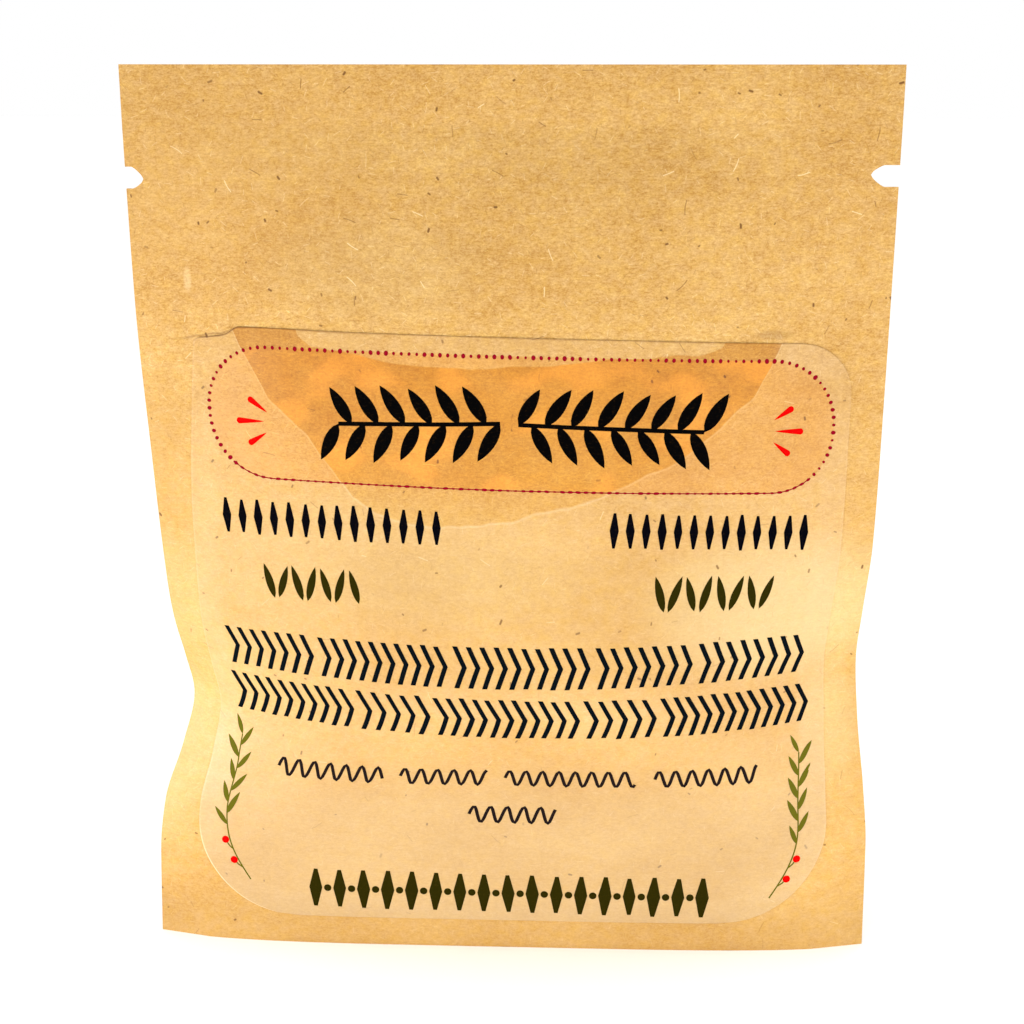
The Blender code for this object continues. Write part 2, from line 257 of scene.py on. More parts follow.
class StudioSettings(bpy.types.PropertyGroup):
    """Floor, lights and camera."""
    floor_colour: FloatVectorProperty(name="Floor", description="Colour of the floor",
                                      default=(0.96, 0.955, 0.945), subtype="COLOR", min=0.0, max=1.0)
    sky_strength: FloatProperty(name="Sky strength", description="Strength of the white surroundings",
                                default=1.0)
    left_power: FloatProperty(name="Left power", description="Power of the low light on the left",
                              default=1.85, unit="POWER")
    right_power: FloatProperty(name="Right power", description="Power of the low light on the right",
                               default=1.25, unit="POWER")
    front_power: FloatProperty(name="Front power", description="Power of the light thrown up in front",
                               default=0.14, unit="POWER")
    top_strength: FloatProperty(name="Top strength", description="Strength of the light from above",
                                default=0.3)
    camera_place: FloatVectorProperty(name="Camera place", description="Where the camera stands",
                                      default=(0.00915, -0.18920, 0.09119), subtype="TRANSLATION", precision=5)
    camera_aim: FloatVectorProperty(name="Camera aim", description="The point in the middle of the picture",
                                    default=(0.0003, 0.0, 0.04607), subtype="TRANSLATION", precision=5)
    lens: FloatProperty(name="Lens", description="Focal length in millimetres on a 36 mm sensor",
                        default=68.28)


# Shape of the paper

def station_slope(stations, index):
    """Slope of the curve at one station: level at a peak, gentle beside a steep stretch."""
    def chord(start):
        (low, low_value), (high, high_value) = stations[start], stations[start + 1]
        return (high_value - low_value) / (high - low)

    if index == 0:
        return chord(0)
    if index == len(stations) - 1:
        return chord(index - 1)
    before, after = chord(index - 1), chord(index)
    if before * after <= 0.0:
        return 0.0
    return 2.0 * before * after / (before + after)


def along(stations, height):
    """Value at a height, in the stations' own unit, on a smooth curve through them."""
    level = min(max(height / MM, stations[0][0]), stations[-1][0])
    index = max(i for i in range(len(stations) - 1) if stations[i][0] <= level)
    (low, low_value), (high, high_value) = stations[index], stations[index + 1]
    span = high - low
    part = (level - low) / span
    value = low_value + (high_value - low_value) * part * part * (3.0 - 2.0 * part)
    value += station_slope(stations, index) * span * part * (1.0 - part) ** 2
    value -= station_slope(stations, index + 1) * span * part * part * (1.0 - part)
    return value


@lru_cache(maxsize=None)
def profile(height):
    """All the stations' values at one height."""
    return {name: along(stations, height) for name, stations in STATIONS.items()}


@lru_cache(maxsize=None)
def depth_shift(lean_back):
    """How far the sheets move so that the back of the pouch meets the back of its solid."""
    rows = [POUCH_HEIGHT * row / 400.0 for row in range(401)]
    rearmost = max(lean_back * height / POUCH_HEIGHT + profile(height)["back bulge"] * MM for height in rows)
    return SOLID_HIGH.y - rearmost - SOLID_PAIR / 2.0


def cockle(across, height, side):
    """Soft waves of handled paper, from about -1 to 1."""
    spot = Vector((across * FLAT_HALF_WIDTH / (13.0 * MM), height / (9.0 * MM), 3.1 + 5.7 * side))
    return noise.noise(spot) + 0.4 * noise.noise(spot * 2.6)


def sheet_point(across, height, side, sizes):
    """A point of the front (side -1) or back (side 1) sheet; across runs from -1 to 1 between seams."""
    row = profile(round(height, 7))
    half = (row["left seam"] + row["right seam"]) / 2.0 * MM
    inner = half - sizes.seal_width
    x = (row["right seam"] - row["left seam"]) / 2.0 * MM + across * half
    inward = min(abs(across) * half / inner, 1.0)
    into_seal = max(abs(across) * half - inner, 0.0) / sizes.seal_width
    turn = row["left turn" if across < 0.0 else "right turn"] * MM * into_seal
    face = "front" if side < 0 else "back"
    bulge = row[face + " bulge"] * MM * (1.0 - inward ** row[face + " squareness"])
    if side < 0:
        bulge *= 1.0 + sizes.plumpness
    loose = (1.0 - inward * inward) * min(height / (10.0 * MM), 1.0) * min((POUCH_HEIGHT - height) / (6.0 * MM), 1.0)
    bulge += sizes.cockle * loose * cockle(across, height, side)
    y = sizes.lean_back * height / POUCH_HEIGHT + turn + side * (sizes.sealed_pair / 2.0 + bulge)
    return Vector((x, y + depth_shift(round(sizes.lean_back, 7)), height))


def underside_point(across, side, sizes):
    """A point of the underside: flat along both rims, and raised to a fold midway between them."""
    front = sheet_point(across, 0.0, -1, sizes)
    back = sheet_point(across, 0.0, 1, sizes)
    point = front.lerp(back, (side + 1.0) / 2.0)
    row = profile(0.0)
    half = (row["left seam"] + row["right seam"]) / 2.0 * MM
    inward = min(abs(across) * half / (half - sizes.seal_width), 1.0)
    point.z = sizes.fold_rise * max(1.0 - abs(side) / RIM_LINE, 0.0) * (1.0 - inward ** FOLD_SQUARENESS)
    return point


# Mesh helpers

def finished(mesh, name, material, smooth_angle=35.0):
    """Puts a mesh in the scene as a piece with its material."""
    piece = bpy.data.objects.new(name, mesh)
    bpy.context.scene.collection.objects.link(piece)
    if material is not None:
        mesh.materials.clear()
        mesh.materials.append(material)
    mesh.shade_smooth()
    mesh.set_sharp_from_angle(angle=math.radians(smooth_angle))
    return piece


def applied(piece):
    """Applies a piece's modifiers to its mesh."""
    view = bpy.context.evaluated_depsgraph_get()
    mesh = bpy.data.meshes.new_from_object(piece.evaluated_get(view))
    piece.modifiers.clear()
    piece.data = mesh
    return piece


def loft(rings, places, edge_columns):
    """A skin over rings of points. Each ring has one more flat place than points, where it closes."""
    shape = bmesh.new()
    flat = shape.loops.layers.uv.new(FLAT_MAP)
    corners = [[shape.verts.new(point) for point in ring] for ring in rings]
    count = len(rings[0])
    for level in range(len(rings) - 1):
        for column in range(count):
            beside = (column + 1) % count
            face = shape.faces.new((corners[level][column], corners[level][beside],
                                    corners[level + 1][beside], corners[level + 1][column]))
            face.material_index = 1 if column in edge_columns else 0
            spots = (places[level][column], places[level][column + 1],
                     places[level + 1][column + 1], places[level + 1][column])
            for loop, spot in zip(face.loops, spots):
                loop[flat].uv = spot
    return shape


# The paper body

def edge_wall(edge_side, height, sizes):
    """The two sheets' cut edges at a seam with the groove between them, front to back."""
    front = sheet_point(edge_side, height, -1, sizes)
    back = sheet_point(edge_side, height, 1, sizes)
    wall = []
    for share, depth in ((0.40, 0.0), (0.5, sizes.groove), (0.60, 0.0)):
        point = front.lerp(back, share)
        point.x -= edge_side * depth
        wall.append(point)
    return wall


def pouch_ring(height, sizes):
    """Points round the pouch at one height: along the front, the right edge, the back, the left edge."""
    steps = [2.0 * column / sizes.columns - 1.0 for column in range(sizes.columns + 1)]
    front = [sheet_point(across, height, -1, sizes) for across in steps]
    back = [sheet_point(-across, height, 1, sizes) for across in steps]
    return front + edge_wall(1, height, sizes) + back + edge_wall(-1, height, sizes)[::-1]


def underside_ring(side, sizes):
    """Points round the underside, at one share of the way from the fold to the faces."""
    steps = [2.0 * column / sizes.columns - 1.0 for column in range(sizes.columns + 1)]
    shares = (0.40, 0.5, 0.60)
    front = [underside_point(across, -side, sizes) for across in steps]
    back = [underside_point(-across, side, sizes) for across in steps]
    right = [underside_point(1.0, side * (2.0 * share - 1.0), sizes) for share in shares]
    left = [underside_point(-1.0, side * (1.0 - 2.0 * share), sizes) for share in shares]
    return front + right + back + left


def flat_places(height, sizes):
    """Where a ring's points lie on the flat paper, once round, and one more where it closes."""
    wall = [sizes.sealed_pair * share for share in (0.25, 0.5, 0.75)]
    steps = [2.0 * column / sizes.columns - 1.0 for column in range(sizes.columns + 1)]
    front = [across * FLAT_HALF_WIDTH for across in steps]
    right = [FLAT_HALF_WIDTH + step for step in wall]
    back = [2.0 * FLAT_HALF_WIDTH + sizes.sealed_pair + across * FLAT_HALF_WIDTH for across in steps]
    left = [back[-1] + step for step in wall]
    around = front + right + back + left + [left[-1] + wall[0]]
    return [(place, height) for place in around]


def top_ring(share, drop, sizes):
    """The top edge's ring, drawn together to a share of the sheets' distance, and lowered."""
    ring = pouch_ring(POUCH_HEIGHT, sizes)
    middle = sheet_point(0.0, POUCH_HEIGHT, 1, sizes).lerp(sheet_point(0.0, POUCH_HEIGHT, -1, sizes), 0.5)
    for point in ring:
        point.y = middle.y + (point.y - middle.y) * share
        point.z -= drop
    return ring


def paper_mesh(sizes):
    """The whole closed body: the underside's fold, both sheets, and the sealed top edge."""
    rounding = 0.12 * MM
    rings, places = [], []
    for share in (0.0, 0.12, 0.25, 0.38, 0.5, 0.62, 0.72, 0.80, 0.86, 0.90, 0.94, 0.985):
        rings.append(underside_ring(share, sizes))
        places.append(flat_places(-(1.0 - share) * 6.0 * MM - rounding, sizes))
    for row in range(sizes.rows + 1):
        height = rounding + (POUCH_HEIGHT - rounding) * row / sizes.rows
        rings.append(pouch_ring(height, sizes))
        places.append(flat_places(height, sizes))
    for share, drop in ((0.22, 0.0), (0.0, sizes.groove)):
        rings.append(top_ring(share, drop, sizes))
        places.append(flat_places(POUCH_HEIGHT + (1.0 - share) * sizes.sealed_pair, sizes))

    wall = 3
    right_wall = set(range(sizes.columns, sizes.columns + wall + 1))
    left_wall = set(range(2 * sizes.columns + 1 + wall, 2 * sizes.columns + 2 + 2 * wall))
    shape = loft(rings, places, right_wall | left_wall)
    for face in shape.faces:
        if face.calc_center_median().z > POUCH_HEIGHT - 0.5 * sizes.groove and abs(face.normal.z) > 0.5:
            face.material_index = 1
    bmesh.ops.remove_doubles(shape, verts=shape.verts, dist=1e-7)
    bmesh.ops.recalc_face_normals(shape, faces=shape.faces)
    mesh = bpy.data.meshes.new("kraft_pouch")
    shape.to_mesh(mesh)
    shape.free()
    return mesh


def notch_cutter(name, edge_side, height, half_mouth, straight, tip, tip_rise):
    """A pointed slot with soft shoulders through a side seal, open at its edge."""
    seam = profile(height)["left seam" if edge_side < 0 else "right seam"] * MM
    beyond = seam + 5.0 * MM
    outline = [(seam - tip, tip_rise)]
    for share, spread in NOTCH_CURVE:
        across, middle = seam - tip + (tip - straight) * share, tip_rise * (1.0 - share)
        outline.append((across, middle + half_mouth * spread))
        outline.insert(0, (across, middle - half_mouth * spread))
    outline = [(beyond, -half_mouth)] + outline + [(beyond, half_mouth)]
    shape = bmesh.new()
    sheet = shape.faces.new([shape.verts.new((edge_side * distance, -4.0 * MM, height + rise))
                             for distance, rise in outline])
    pushed = bmesh.ops.extrude_face_region(shape, geom=[sheet])
    moved = [part for part in pushed["geom"] if isinstance(part, bmesh.types.BMVert)]
    bmesh.ops.translate(shape, verts=moved, vec=(0.0, 8.0 * MM, 0.0))
    bmesh.ops.recalc_face_normals(shape, faces=shape.faces)
    for face in shape.faces:
        face.material_index = 1
    mesh = bpy.data.meshes.new(name)
    shape.to_mesh(mesh)
    shape.free()
    cutter = bpy.data.objects.new(name, mesh)
    bpy.context.scene.collection.objects.link(cutter)
    return cutter


class POUCH_OT_make_paper(bpy.types.Operator):
    """Make the kraft paper body with its tear notches"""
    bl_idname = "pouch.make_paper"
    bl_label = "Make paper body"

    def execute(self, context):
        sizes = context.scene.pouch_sizes
        paper = kraft_material("kraft_paper", context.scene.pouch_paper)
        edge = edge_material("paper_edge", context.scene.pouch_paper)
        piece = finished(paper_mesh(sizes), "kraft_pouch", paper)
        piece.data.materials.append(edge)
        cutters = []
        for name, numbers in NOTCHES.items():
            cutter = notch_cutter(name, *numbers)
            cutter.data.materials.append(paper)
            cutter.data.materials.append(edge)
            cut = piece.modifiers.new(name, "BOOLEAN")
            cut.operation = "DIFFERENCE"
            cut.solver = "EXACT"
            cut.object = cutter
            cutters.append(cutter)
        applied(piece)
        for cutter in cutters:
            bpy.data.objects.remove(cutter, do_unlink=True)
        piece.data.set_sharp_from_angle(angle=math.radians(35.0))
        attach(piece, BODY)
        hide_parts("pouch")
        return {"FINISHED"}


# The label film

def corner_inset(distance_from_end, radius):
    """How far a rounded corner draws the label's edge in, near the label's top or bottom."""
    if distance_from_end >= radius:
        return 0.0
    return radius - math.sqrt(radius ** 2 - (radius - distance_from_end) ** 2)


def label_place(across, up):
    """A flat place on the label; across and up run from 0 to 1 over it."""
    height = LABEL_LOW + (LABEL_HIGH - LABEL_LOW) * up
    from_low, from_high = height - LABEL_LOW, LABEL_HIGH - height
    left = max(corner_inset(from_low, LABEL_CORNERS["bottom left"]),
               corner_inset(from_high, LABEL_CORNERS["top left"])) - along(LABEL_LEFT, height) * MM
    right = along(LABEL_RIGHT, height) * MM - max(corner_inset(from_low, LABEL_CORNERS["bottom right"]),
                                                  corner_inset(from_high, LABEL_CORNERS["top right"]))
    place = left + (right - left) * across
    return place, height + (along(LABEL_TOP, place) * MM - LABEL_HIGH) * up ** 4


def on_front(place, height, lift, sizes):
    """The point at a flat place of the front sheet, lifted square off the paper."""
    step = 0.4 * MM
    across = place / FLAT_HALF_WIDTH
    point = sheet_point(across, height, -1, sizes)
    sideways = sheet_point(across + step / FLAT_HALF_WIDTH, height, -1, sizes) - point
    upward = sheet_point(across, height + step, -1, sizes) - point
    return point + sideways.cross(upward).normalized() * lift


def film_mesh(sizes, label):
    """The film's outer face as a grid that follows the front sheet."""
    shape = bmesh.new()
    bmesh.ops.create_grid(shape, x_segments=label.columns, y_segments=label.rows, size=0.5)
    flat = shape.loops.layers.uv.new(FLAT_MAP)
    rim = shape.verts.layers.float.new("rim_distance")
    spots = {}
    for corner in shape.verts:
        across = 0.5 - 0.5 * math.cos(math.pi * (corner.co.x + 0.5))
        across = 0.6 * (corner.co.x + 0.5) + 0.4 * across
        up = 0.5 - 0.5 * math.cos(math.pi * (corner.co.y + 0.5))
        up = 0.35 * (corner.co.y + 0.5) + 0.65 * up
        spots[corner] = label_place(across, up)

    outline = [corner for corner in shape.verts if corner.is_boundary]
    finder = kdtree.KDTree(len(outline))
    for index, corner in enumerate(outline):
        finder.insert((*spots[corner], 0.0), index)
    finder.balance()
    for corner in shape.verts:
        corner[rim] = finder.find((*spots[corner], 0.0))[2] / MM
    for face in shape.faces:
        for loop in face.loops:
            loop[flat].uv = spots[loop.vert]
    for corner in shape.verts:
        corner.co = on_front(*spots[corner], label.lift + label.thickness, sizes)
    bmesh.ops.recalc_face_normals(shape, faces=shape.faces)
    if sum(face.normal.y for face in shape.faces) > 0.0:
        bmesh.ops.reverse_faces(shape, faces=shape.faces)
    mesh = bpy.data.meshes.new("label_film")
    shape.to_mesh(mesh)
    shape.free()
    return mesh


class POUCH_OT_make_film(bpy.types.Operator):
    """Make the clear label film on the front"""
    bl_idname = "pouch.make_film"
    bl_label = "Make label film"

    def execute(self, context):
        scene = context.scene
        label = scene.pouch_label
        material = film_material("label_film", scene.pouch_paper, label)
        piece = finished(film_mesh(scene.pouch_sizes, label), "label_film", material)
        wall = piece.modifiers.new("thickness", "SOLIDIFY")
        wall.thickness = label.thickness
        wall.offset = -1.0
        edge = piece.modifiers.new("edge", "BEVEL")
        edge.width = 0.3 * label.thickness
        edge.segments = 2
        edge.limit_method = "ANGLE"
        edge.angle_limit = math.radians(50.0)
        applied(piece)
        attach(piece, BODY)
        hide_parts("label")
        return {"FINISHED"}


# Print: drawn flat with x across, y up and z out of the film, in metres, then laid on the film

def flat_solid(name, outline, height):
    """A thin flat solid over an outline in metres, one half of its height to either side of zero."""
    shape = bmesh.new()
    sheet = shape.faces.new([shape.verts.new((x, y, -height / 2.0)) for x, y in outline])
    pushed = bmesh.ops.extrude_face_region(shape, geom=[sheet])
    moved = [part for part in pushed["geom"] if isinstance(part, bmesh.types.BMVert)]
    bmesh.ops.translate(shape, verts=moved, vec=(0.0, 0.0, height))
    bmesh.ops.recalc_face_normals(shape, faces=shape.faces)
    mesh = bpy.data.meshes.new(name)
    shape.to_mesh(mesh)
    shape.free()
    return mesh


def round_outline(half_across, half_up, corners=14):
    """An ellipse."""
    turns = [2.0 * math.pi * step / corners for step in range(corners)]
    return [(half_across * math.cos(turn), half_up * math.sin(turn)) for turn in turns]


def leaf_outline(length, width, corners=9):
    """A slender leaf from its foot at zero up to its tip."""
    shares = [step / (corners - 1) for step in range(corners)]
    half = [width / 2.0 * math.sin(math.pi * share ** 0.85) ** 0.8 for share in shares]
    right = [(side, length * share) for side, share in zip(half, shares)]
    left = [(-side, length * share) for side, share in zip(half, shares)]
    return right + left[::-1][1:-1]


def drop_outline(length, width, corners=8):
    """A drop with its round head at zero and its point at the far end, along x."""
    radius = width / 2.0
    turns = [math.pi / 2.0 + math.pi * step / corners for step in range(corners + 1)]
    head = [(radius + radius * math.cos(turn), radius * math.sin(turn)) for turn in turns]
    shares = (0.35, 0.6, 0.82)
    belly = [(radius + (length - radius) * share, radius * (1.0 - share) ** 0.75) for share in shares]
    return head + [(x, -y) for x, y in belly] + [(length, 0.0)] + belly[::-1]


def lozenge_outline(half_across, half_up):
    """An upright lozenge with blunt ends."""
    blunt = 0.28
    return [(half_across, 0.0), (half_across * blunt, half_up), (-half_across * blunt, half_up),
            (-half_across, 0.0), (-half_across * blunt, -half_up), (half_across * blunt, -half_up)]


def chevron_outline(half_up, depth, stroke):
    """An arrowhead that points along x."""
    return [(stroke, 0.0), (-depth + stroke, half_up), (-depth, half_up), (0.0, 0.0),
            (-depth, -half_up), (-depth + stroke, -half_up)]


class Graph:
    """A node tree filled from Python: the nodes of a material or of Geometry Nodes."""

    def __init__(self, tree):
        self.tree = tree

    def node(self, kind, settings=None, sockets=None):
        made = self.tree.nodes.new(kind)
        for name, value in (settings or {}).items():
            setattr(made, name, value)
        for name, value in (sockets or {}).items():
            self.feed(made.inputs[name], value)
        return made

    def feed(self, socket, value):
        if isinstance(value, Value):
            value = value.socket
        if isinstance(value, bpy.types.NodeSocket):
            self.tree.links.new(value, socket)
        else:
            socket.default_value = value


class Value:
    """A number carried by a socket, which Python's own signs can reckon with."""

    def __init__(self, graph, socket):
        self.graph, self.socket = graph, socket

    def reckon(self, operation, first, second=0.0):
        made = self.graph.node("ShaderNodeMath", {"operation": operation}, {0: first, 1: second})
        return Value(self.graph, made.outputs[0])

    def __add__(self, other):
        return self.reckon("ADD", self, other)

    def __radd__(self, other):
        return self.reckon("ADD", other, self)

    def __sub__(self, other):
        return self.reckon("SUBTRACT", self, other)

    def __rsub__(self, other):
        return self.reckon("SUBTRACT", other, self)

    def __mul__(self, other):
        return self.reckon("MULTIPLY", self, other)

    def __rmul__(self, other):
        return self.reckon("MULTIPLY", other, self)

    def __truediv__(self, other):
        return self.reckon("DIVIDE", self, other)

    def __pow__(self, other):
        return self.reckon("POWER", self, other)

    def __abs__(self):
        return self.reckon("ABSOLUTE", self)

    def least(self, other):
        return self.reckon("MINIMUM", self, other)

    def most(self, other):
        return self.reckon("MAXIMUM", self, other)

    def above(self, other):
        return self.reckon("GREATER_THAN", self, other)

    def sine(self):
        return self.reckon("SINE", self)

    def cosine(self):
        return self.reckon("COSINE", self)

    def smooth(self, low, high):
        """0 below low and 1 above high, with a soft step between; low may be the larger."""
        made = self.graph.node("ShaderNodeMapRange", {"interpolation_type": "SMOOTHSTEP"},
                               {"Value": self, "From Min": low, "From Max": high})
        return Value(self.graph, made.outputs["Result"])


class Look(Graph):
    """A material under construction."""

    def __init__(self, name):
        self.material = bpy.data.materials.new(name)
        self.material.use_nodes = True
        super().__init__(self.material.node_tree)
        self.shader = self.tree.nodes["Principled BSDF"]

    def surface(self, **sockets):
        """Sets or links the shader's sockets; words of a name are joined by underscores."""
        for name, value in sockets.items():
            self.feed(self.shader.inputs[name.replace("_", " ")], value)

    def flat_place(self):
        """The place on the flat sheet, in millimetres."""
        spot = self.node("ShaderNodeUVMap", {"uv_map": FLAT_MAP}).outputs[0]
        return self.vector("SCALE", spot, scale=1.0 / MM)

    def vector(self, operation, first, second=None, scale=None):
        made = self.node("ShaderNodeVectorMath", {"operation": operation}, {0: first})
        if second is not None:
            self.feed(made.inputs[1], second)
        if scale is not None:
            self.feed(made.inputs["Scale"], scale)
        return made.outputs["Vector"]

    def split(self, vector):
        made = self.node("ShaderNodeSeparateXYZ", None, {0: vector})
        return [Value(self, socket) for socket in made.outputs]

    def join(self, *numbers):
        return self.node("ShaderNodeCombineXYZ", None, dict(enumerate(numbers))).outputs[0]

    def noise(self, place, per_mm, detail=2.0, seed=0.0, roughness=0.5):
        """Soft noise about 0, with its own fineness across and up."""
        stretched = self.vector("MULTIPLY_ADD", place, (per_mm[0], per_mm[1], 0.0))
        self.feed(stretched.node.inputs[2], (seed * 17.3, seed * 9.1, seed * 5.7))
        made = self.node("ShaderNodeTexNoise", {"noise_dimensions": "2D"},
                         {"Vector": stretched, "Scale": 1.0, "Detail": detail, "Roughness": roughness})
        return Value(self, made.outputs["Fac"]) - 0.5

    def profile(self, value, line):
        """Height of a line of points at a value, straight between them and level outside."""
        (low, _), (high, _) = line[0], line[-1]
        heights = [height for _, height in line]
        base, rise = min(heights), max(heights) - min(heights)
        made = self.node("ShaderNodeValToRGB", None, {"Fac": (value - low) / (high - low)})
        ramp = made.color_ramp
        while len(ramp.elements) < len(line):
            ramp.elements.new(0.5)
        for stop, (place, height) in zip(ramp.elements, line):
            stop.position = (place - low) / (high - low)
        for stop, (place, height) in zip(ramp.elements, line):
            share = (height - base) / rise
            stop.color = (share, share, share, 1.0)
        return Value(self, made.outputs["Color"]) * rise + base

    def mix(self, share, first, second, blend="MIX"):
        made = self.node("ShaderNodeMix", {"data_type": "RGBA", "blend_type": blend},
                         {0: share, 6: opaque(first), 7: opaque(second)})
        return made.outputs[2]

    def bump(self, height, distance, strength=1.0):
        made = self.node("ShaderNodeBump", None,
                         {"Height": height, "Distance": distance, "Strength": strength})
        return made.outputs["Normal"]

    def attribute(self, name):
        return Value(self, self.node("ShaderNodeAttribute", {"attribute_name": name}).outputs["Fac"])


def opaque(colour):
    """A colour with its alpha, or a socket as it is."""
    if isinstance(colour, (bpy.types.NodeSocket, Value)):
        return colour
    return (*colour[:3], 1.0)


# Materials

def fibres(look, place, cell, length, width, share, seed, bend=0.35):
    """Short curved fibres, one at most in each cell of the sheet: 1 on a fibre and 0 beside it.
    Sizes in millimetres; share is how many of the cells have one."""
    spot = look.vector("MULTIPLY_ADD", place, (1.0 / cell, 1.0 / cell, 0.0))
    look.feed(spot.node.inputs[2], (seed * 3.7, seed * 8.3, 0.0))
    cells = look.node("ShaderNodeTexVoronoi", {"voronoi_dimensions": "2D", "feature": "F1"},
                      {"Vector": spot, "Scale": 1.0, "Randomness": 1.0})
    away = look.vector("SUBTRACT", spot, cells.outputs["Position"])
    across, up, _ = look.split(away)
    chance, turn, size = look.split(cells.outputs["Color"])
    angle = turn * (2.0 * math.pi)
    ahead = (across * angle.cosine() + up * angle.sine()) * cell
    aside = (up * angle.cosine() - across * angle.sine()) * cell
    aside = aside + ahead * ahead * ((size - 0.5) * bend)
    reach = (abs(ahead) - (size * 0.7 + 0.3) * (length / 2.0)).most(0.0)
    distance = (reach * reach + aside * aside) ** 0.5
    return distance.smooth(width * 0.75, width * 0.2) * (share - chance).smooth(0.0, share * 0.6)


def kraft_colour(look, place, paper):
    """Colour and relief of the kraft paper at a flat place in millimetres."""
    cloud = look.noise(place, (0.06, 0.09), detail=2.0, seed=1.0)
    mottle = look.noise(place, (0.55, 0.85), detail=2.0, seed=2.0)
    grain = look.noise(place, (1.9, 4.1), detail=2.0, seed=3.0, roughness=0.6)
    pebble = look.noise(place, (4.7, 6.7), detail=2.0, seed=4.0, roughness=0.75)
    hue = look.noise(place, (0.9, 1.1), detail=2.0, seed=8.0) * 2.0 + 0.5
    across, up, _ = look.split(place)
    clearness = up.smooth(30.0, 72.0) * 0.36 + 0.40
    relief = (mottle * 0.45 + grain + pebble) * clearness
    # The paper darkens towards the top edge: painted shade
    tone = 0.52 + cloud * 0.60 + relief * 1.45 - up.smooth(58.0, 72.0) * 0.07
    colour = look.mix(tone.most(0.0).least(1.0), paper.deep, paper.light)
    colour = look.mix(hue.most(0.0).least(1.0), colour, paper.ochre, "MULTIPLY")
    # Paler patches are a painted highlight, darker ones painted shade; two small ones are marks on the paper
    for (middle_x, middle_z), (half_x, half_z), tint, strength in PAINTED_LIGHT_AND_MARKS:
        beside, over = (across - middle_x) / half_x, (up - middle_z) / half_z
        near = (beside * beside + over * over).smooth(1.0, 0.0)
        colour = look.mix(near * strength, colour, getattr(paper, tint))

    fine_dark = fibres(look, place, cell=0.85, length=0.62, width=0.075, share=0.50, seed=1.0)
    fine_pale = fibres(look, place, cell=1.05, length=0.75, width=0.070, share=0.50, seed=4.0)
    long_dark = fibres(look, place, cell=4.6, length=1.4, width=0.105, share=0.36, seed=2.0)
    long_pale = fibres(look, place, cell=6.1, length=1.3, width=0.095, share=0.34, seed=5.0)
    fleck = fibres(look, place, cell=3.7, length=0.22, width=0.17, share=0.30, seed=3.0)
    speck = fibres(look, place, cell=7.5, length=0.34, width=0.22, share=0.60, seed=6.0)
    colour = look.mix(fine_dark * clearness * 0.34, colour, paper.dark_fibre_and_shade)
    colour = look.mix(fine_pale * clearness * 0.40, colour, paper.pale_fibre)
    colour = look.mix(long_pale * clearness * 0.80, colour, paper.pale_fibre)
    colour = look.mix(long_dark * clearness * 0.80, colour, paper.dark_fibre_and_shade)
    colour = look.mix(fleck * 0.80, colour, paper.dark_fibre_and_shade)
    colour = look.mix(speck * 0.95, colour, paper.dark_fibre_and_shade)

    # A painted shadow line along the crease
    crease = look.profile(across, CREASE)
    crease_shadow = (1.0 - abs(up - crease - mottle * 0.3) / 0.15).most(0.0)
    crease_shadow = crease_shadow * across.smooth(-27.4, -28.4) * across.smooth(-36.0, -31.0)
    # The paper darkens towards the bottom edge: painted shade
    foot = up.smooth(7.6, 2.2)
    colour = look.mix(crease_shadow * 0.50 + foot * 0.18, colour, paper.dark_fibre_and_shade)
    return colour, relief


def kraft_material(name, paper):
    look = Look(name)
    place = look.flat_place()
    colour, relief = kraft_colour(look, place, paper)
    look.surface(Base_Color=colour, Roughness=paper.roughness, Normal=look.bump(relief, paper.relief))
    look.surface(Specular_IOR_Level=0.35)
    return look.material


def edge_material(name, paper):
    """The sheets' cut edges: paler than the face, with fine layers."""
    look = Look(name)
    place = look.node("ShaderNodeTexCoord").outputs["Object"]
    made = look.node("ShaderNodeTexNoise", None, {"Vector": place, "Scale": 2600.0, "Detail": 3.0})
    layers = Value(look, made.outputs["Fac"])
    colour = look.mix(layers.smooth(0.35, 0.7), paper.deep, paper.cut_edge)
    look.surface(Base_Color=colour, Roughness=0.85, Normal=look.bump(layers, paper.relief))
    return look.material


def panel_mask(look, place):
    """1 on the printed panel with its round ends and 0 outside it."""
    across, up, _ = look.split(place)
    level = up - across * PANEL_SLOPE + across * across * PANEL_ARCH
    past_x = (abs(across - PANEL_MIDDLE[0]) - (PANEL_HALF[0] - PANEL_CORNER)).most(0.0)
    past_y = (abs(level - PANEL_MIDDLE[1]) - (PANEL_HALF[1] - PANEL_CORNER)).most(0.0)
    return ((past_x * past_x + past_y * past_y) ** 0.5).smooth(PANEL_CORNER + 0.1, PANEL_CORNER - 0.1)


